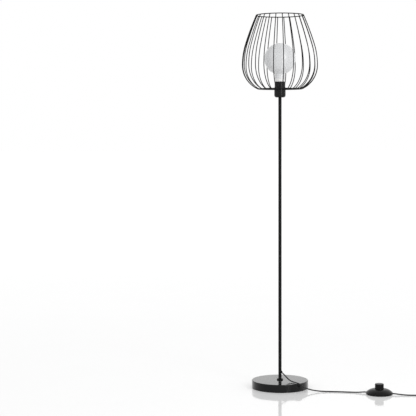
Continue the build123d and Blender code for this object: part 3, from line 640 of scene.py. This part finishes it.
body_foot = -44.0
body_length = 36.0
body_steps = 144
cord_end_width = 20.0
widening = 15.3
widening_length = 18.0
body_height = 13.7
body_corner = 6.0
end_radius = 1.2
grip_start = 19.0
grip_pitch = 2.6
grip_depth = 1.3
grips = 5
sections = []
for number in range(body_steps + 1):
    distance = body_length * number / body_steps
    width = cord_end_width + widening * min(1.0, distance / widening_length)
    along_grip = (distance - grip_start) / grip_pitch
    if 0 < along_grip < grips:
        width -= grip_depth * sin(pi * along_grip) ** 4
    end_round = max(0.0, distance - body_length + end_radius)
    shrink = 2 * (end_radius - sqrt(max(0.0, end_radius ** 2 - end_round ** 2)))
    section = (width - shrink, body_height - shrink, body_corner - shrink / 2,
               body_foot + distance)
    sections.append(plug_section(*section))
plug_plastic, place = new_finish("plug_plastic", Specular_IOR_Level=0.4)
flow = place.noise(130.0, 4.0)
flow.colours((0.010, 0.010, 0.011), (0.018, 0.018, 0.018)).feeds("Base Color")
(0.34 + 0.16 * flow).feeds("Roughness")
place.noise(2400.0).raises(0.03 * mm)
plug = new_piece("plug_grip", loft(sections), plug_plastic, "stand")
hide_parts("plug_body")

sleeve_foot = -74.0
sleeve_length = 30.0
sleeve_steps = 100
sleeve_radius = 3.5
sleeve_taper = 2.0
first_rib = 1.0
last_rib = 28.0
rib_pitch = 3.6
notch_depth = 0.75
sections = []
for number in range(sleeve_steps + 1):
    distance = sleeve_length * number / sleeve_steps
    radius = sleeve_radius + sleeve_taper * distance / sleeve_length
    if first_rib < distance < last_rib:
        radius -= notch_depth * sin(pi * distance / rib_pitch) ** 8
    sections.append(plug_section(2 * radius, 2 * radius, radius, sleeve_foot + distance))
sleeve = new_piece("plug_relief", loft(sections), plug_plastic, "stand")
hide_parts("plug_sleeve")

pin_metal, place = new_finish("pin_metal", Specular_IOR_Level=0.5)
pin_sleeve_end = 2.0 * mm
bare = place.axis(1).ramp(pin_sleeve_end - 0.1 * mm, pin_sleeve_end + 0.1 * mm)
bare.feeds("Metallic")
bare.colours((0.016, 0.016, 0.017), (0.70, 0.68, 0.64)).feeds("Base Color")
(0.42 - 0.2 * bare).feeds("Roughness")
dress(pin_metal, "plug_pins")

tie_nylon, place = new_finish("tie_nylon", Specular_IOR_Level=0.5)
place.noise(600.0).colours((0.012, 0.012, 0.012), (0.022, 0.022, 0.022)).feeds("Base Color")
(0.30 + 0.1 * place.noise(200.0)).feeds("Roughness")
place.noise(1300.0).raises(0.05 * mm)
dress(tie_nylon, "cord_tie")

# ---------------------------------------------------------------- studio
# The room is an even white tent with a glossy white floor. One soft lamp stands in front on the
# right, and puts a faint line of light on the pole, the holder and the globe.


def watched(tree):
    """1 where the camera looks, or a mirror or a glass shows, and 0 where light only falls."""
    path = tree.nodes.new("ShaderNodeLightPath")
    rays = [Shade(tree, path.outputs[f"Is {kind} Ray"])
            for kind in ("Camera", "Glossy", "Transmission")]
    return (rays[0] + rays[1] + rays[2]).ramp(0.0, 1.0)


floor_finish, place = new_finish("white_floor", IOR=1.8, Emission_Strength=1.0)
place.noise(3.0).colours((0.90, 0.90, 0.90), (0.92, 0.92, 0.92)).feeds("Base Color")
(0.06 + 0.03 * place.noise(5.0)).feeds("Roughness")
floor_glow = 0.15
(floor_glow * watched(floor_finish.node_tree)).feeds("Emission Color")
half_floor = 60.0
floor_mesh = bpy.data.meshes.new("floor")
floor_corners = [(-half_floor, -half_floor, 0), (half_floor, -half_floor, 0),
                 (half_floor, half_floor, 0), (-half_floor, half_floor, 0)]
floor_mesh.from_pydata(floor_corners, [], [(0, 1, 2, 3)])
floor_mesh.materials.append(floor_finish)
studio_floor = bpy.data.objects.new("floor", floor_mesh)
bpy.context.scene.collection.objects.link(studio_floor)

world = bpy.data.worlds.new("tent")
bpy.context.scene.world = world
world.use_nodes = True
tent = world.node_tree
tent.nodes["Background"].inputs["Color"].default_value = (1, 1, 1, 1)
tent_level = 0.72
strength = tent_level + (1 - tent_level) * watched(tent)
tent.links.new(strength.socket, tent.nodes["Background"].inputs["Strength"])

soft_lamp = bpy.data.lights.new("soft_lamp", "AREA")
soft_lamp.shape = "RECTANGLE"
soft_lamp.size = 0.9
soft_lamp.size_y = 2.2
soft_lamp.energy = 45.0
lamp_place = Vector((2.1, -3.05, 1.9))
lit_middle = Vector((0, 0, 1.2))
lamp_turn = (lit_middle - lamp_place).to_track_quat("-Z", "Y")
lamp_stand = bpy.data.objects.new("soft_lamp", soft_lamp)
lamp_stand.matrix_world = Matrix.Translation(lamp_place) @ lamp_turn.to_matrix().to_4x4()
bpy.context.scene.collection.objects.link(lamp_stand)

bpy.context.scene.view_settings.view_transform = "Standard"
